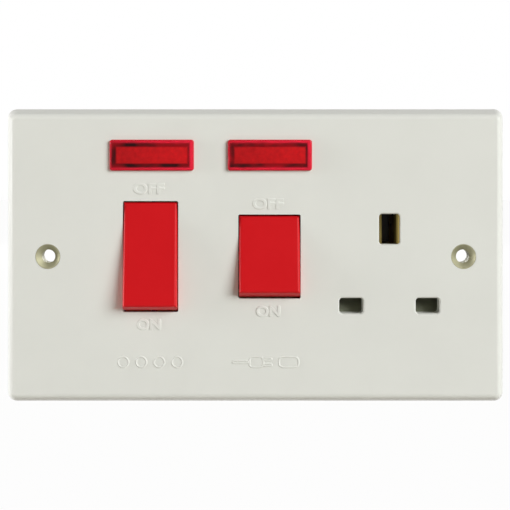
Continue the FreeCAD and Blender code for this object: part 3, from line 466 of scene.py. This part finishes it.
def bead_ring(path):
    """Oval tube round a closed path of (x, z) rows in mm.

    point = path + normal * BEAD cos(t), depth = FACE_Y - RELIEF sin(t), t from 0 to 2 pi.
    """
    path = np.asarray(path) * MM
    along = np.roll(path, -1, axis=0) - np.roll(path, 1, axis=0)
    along /= np.linalg.norm(along, axis=1, keepdims=True)
    normal = np.column_stack([along[:, 1], -along[:, 0]])
    t = np.linspace(0, 2 * np.pi, BEAD_POINTS, endpoint=False)
    flat = path[:, None, :] + normal[:, None, :] * (BEAD * np.cos(t))[None, :, None]
    depth = np.broadcast_to(FACE_Y - RELIEF * np.sin(t), flat.shape[:2])
    return np.stack([flat[..., 0], depth, flat[..., 1]], axis=-1)


def sign_mesh(name, paths):
    """One mesh of several bead rings: each grid's quads close on themselves both ways."""
    points, quads, start = [], [], 0
    for path in paths:
        grid = bead_ring(path)
        rows, columns = grid.shape[:2]
        index = start + np.arange(rows * columns).reshape(rows, columns)
        right = np.roll(index, -1, axis=1)
        down = np.roll(index, -1, axis=0)
        corner = np.roll(right, -1, axis=0)
        quads.append(np.stack([index, down, corner, right], axis=-1).reshape(-1, 4))
        points.append(grid.reshape(-1, 3))
        start += rows * columns
    mesh = bpy.data.meshes.new(name)
    mesh.from_pydata(np.concatenate(points).tolist(), [], np.concatenate(quads).tolist())
    mesh.polygons.foreach_set("use_smooth", np.ones(len(mesh.polygons), dtype=bool))
    mesh.update()
    return mesh


def round_box(x, z, width, height, power):
    """Rounded rectangle: |2x/width|^power + |2z/height|^power = 1, a circle at power 2."""
    turn = np.linspace(0, 2 * np.pi, PATH_POINTS, endpoint=False)
    c, s = np.cos(turn), np.sin(turn)
    return np.column_stack([
        x + width / 2 * np.sign(c) * np.abs(c) ** (2 / power),
        z + height / 2 * np.sign(s) * np.abs(s) ** (2 / power),
    ])


hob = [
    round_box(HOB_X + HOB_SPACING * step, SIGN_Z, SIGN_HEIGHT, SIGN_HEIGHT, CIRCLE)
    for step in (-1.5, -0.5, 0.5, 1.5)]
dressed("hob_rings_sign", sign_mesh("hob_rings_sign", hob))
plug = [
    round_box(LEAD_X, SIGN_Z, LEAD_LENGTH, BAR, BLUNT),
    round_box(PLUG_X, SIGN_Z, PLUG_WIDTH, SIGN_HEIGHT, ROUNDED),
    round_box(PIN_X, SIGN_Z + PIN_RISE, PIN_LENGTH, BAR, BLUNT),
    round_box(PIN_X, SIGN_Z - PIN_RISE, PIN_LENGTH, BAR, BLUNT),
    round_box(OUTLET_X, SIGN_Z, OUTLET_WIDTH, SIGN_HEIGHT, ROUNDED),
]
dressed("plug_sign", sign_mesh("plug_sign", plug))

# %% [markdown]
# Dull brass shows along both sides of the earth slot. The leaves of the earth contact stand
# deep behind it, and each has a thin lead-in tongue that runs forward and flares out to the
# side of the slot, outside the way of the pin. A tongue is one folded section carried up
# the height of the slot.

# %% Lead-in tongues of the earth contact
# Millimetres: the slot's middle, then each tongue's two faces from that middle, the depths
# at which they bend, its lip as (offset, depth), and its lap over the leaf behind it
SOCKET_X = 38.8
EARTH_Z = 7.95
SLOT_HALF_HEIGHT = 4.35
INNER_FACE, OUTER_FACE = 2.13, 2.38
INNER_BEND, OUTER_BEND = 1.35, 1.45
INNER_LIP, OUTER_LIP = (2.90, 0.40), (2.97, 0.60)
LEAF_LAP = 2.6
# A darker, rougher copy of the strip brass, for the tongues in the slot
brass_darker = finish(
    "brass_strip_darker", "#857747", "#A08F58", 2.5, 0.3, 0.0015, (0.45, 0.60),
    stretch=(1, 1, 0.25), Metallic=1.0)


def tongue_mesh(name, back):
    """Both tongues: rows of (offset from the middle, depth behind the face) in mm, swept in z."""
    section = np.array([
        OUTER_LIP, (OUTER_FACE, OUTER_BEND), (OUTER_FACE, back),
        (INNER_FACE, back), (INNER_FACE, INNER_BEND), INNER_LIP])
    count = len(section)
    points, quads = [], []
    for side in (-1, 1):
        for end in (-1, 1):
            points.append(np.column_stack([
                (SOCKET_X + side * section[:, 0]) * MM,
                FACE_Y + section[:, 1] * MM,
                np.full(count, (EARTH_Z + end * SLOT_HALF_HEIGHT) * MM)]))
        index = 2 * count * (side > 0) + np.arange(count)
        after = np.roll(index, -1)
        walls = np.column_stack([index, after, after + count, index + count])
        caps = np.array([index[[0, 1, 4, 5]], index[[1, 2, 3, 4]]])
        faces = np.concatenate([walls, caps[:, ::-1], caps + count])
        quads.append(faces if side > 0 else faces[:, ::-1])
    mesh = bpy.data.meshes.new(name)
    mesh.from_pydata(np.concatenate(points).tolist(), [], np.concatenate(quads).tolist())
    mesh.update()
    return mesh


leaf_front = (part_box("earth_pin_contact")[0][1] - FACE_Y) / MM
tongues = tongue_mesh("earth_lead_in", leaf_front + LEAF_LAP)
dressed("earth_lead_in", tongues, brass_darker)

# %% [markdown]
# A pale floor lies well below the plate, so its shadow stays out of this view. The plate
# stands in front of white: the world and the floor are white where the camera, a
# reflection or a lens looks at them, and give the object only a plain even light.

# %% Floor and surroundings
FLOOR_Z = -0.16
FLOOR_HALF = 6.0
WHITE = linear("#FFFFFF")
AMBIENT = 0.08
# The rest of what is seen of the floor is its paint
GLOW_SHARE = 0.97


def looked_at(tree):
    """1 where the camera, a glossy ray or a transmitted ray sees this, else 0."""
    path = put(tree, "ShaderNodeLightPath").outputs
    seen = put(tree, "ShaderNodeMath", {
        0: path["Is Camera Ray"], 1: path["Is Glossy Ray"]}, operation="MAXIMUM")
    return put(tree, "ShaderNodeMath", {
        0: seen.outputs[0], 1: path["Is Transmission Ray"]}, operation="MAXIMUM").outputs[0]


floor_finish = bpy.data.materials.new("pale_floor_paint")
floor_finish.use_nodes = True
tree = floor_finish.node_tree
tree.nodes.clear()
paint = put(tree, "ShaderNodeBsdfDiffuse", {"Color": linear("#D8D4CA")})
glow = put(tree, "ShaderNodeEmission", {"Color": WHITE, "Strength": 1.0})
share = put(tree, "ShaderNodeMath", {0: looked_at(tree), 1: GLOW_SHARE}, operation="MULTIPLY")
mixed = put(tree, "ShaderNodeMixShader", {
    0: share.outputs[0], 1: paint.outputs[0], 2: glow.outputs[0]})
put(tree, "ShaderNodeOutputMaterial", {"Surface": mixed.outputs[0]})

corners = FLOOR_HALF * np.array([[-1, -1], [1, -1], [1, 1], [-1, 1]])
floor_mesh = bpy.data.meshes.new("floor")
floor_points = np.column_stack([corners, np.full(len(corners), FLOOR_Z)])
floor_mesh.from_pydata(floor_points.tolist(), [], [(0, 1, 2, 3)])
floor_mesh.materials.append(floor_finish)
floor = bpy.data.objects.new("floor", floor_mesh)
bpy.context.collection.objects.link(floor)

world = bpy.data.worlds.new("studio")
world.use_nodes = True
bpy.context.scene.world = world
tree = world.node_tree
tree.nodes.clear()
plain = put(tree, "ShaderNodeBackground", {"Color": linear("#FFDDB8"), "Strength": AMBIENT})
white = put(tree, "ShaderNodeBackground", {"Color": WHITE, "Strength": 1.0})
mixed = put(tree, "ShaderNodeMixShader", {
    0: looked_at(tree), 1: plain.outputs[0], 2: white.outputs[0]})
put(tree, "ShaderNodeOutputWorld", {"Surface": mixed.outputs[0]})
print("floor at", FLOOR_Z, "ambient", AMBIENT)

# %% [markdown]
# The shadows say how it was lit: one large soft light from the right and a little above,
# which throws each rocker's shadow to the left, and a weaker one from the left that keeps
# the left edge of the plate bright. Two area lights do the same. A third one stands behind
# the plate, where it shows the back and adds nothing to the front.

# %% Lights
def softbox(name, place, size, power, colour):
    """Square area light at a place in metres, facing the middle of the plate."""
    data = bpy.data.lights.new(name, "AREA")
    data.shape = "SQUARE"
    data.size = size
    data.energy = power
    data.color = linear(colour)[:3]
    lamp = bpy.data.objects.new(name, data)
    lamp.location = place
    lamp.rotation_euler = (-lamp.location).to_track_quat("-Z", "Y").to_euler()
    bpy.context.collection.objects.link(lamp)
    print("light", name, power, "W")


softbox("key_right", (4.12, -3.76, 1.90), 3.6, 386, "#FBFEFF")
softbox("edge_left", (-2.60, -0.08, 0.30), 0.8, 66, "#FBFCFF")
softbox("back_soft", (0.00, 2.60, 0.10), 0.5, 34, "#FDFEFF")
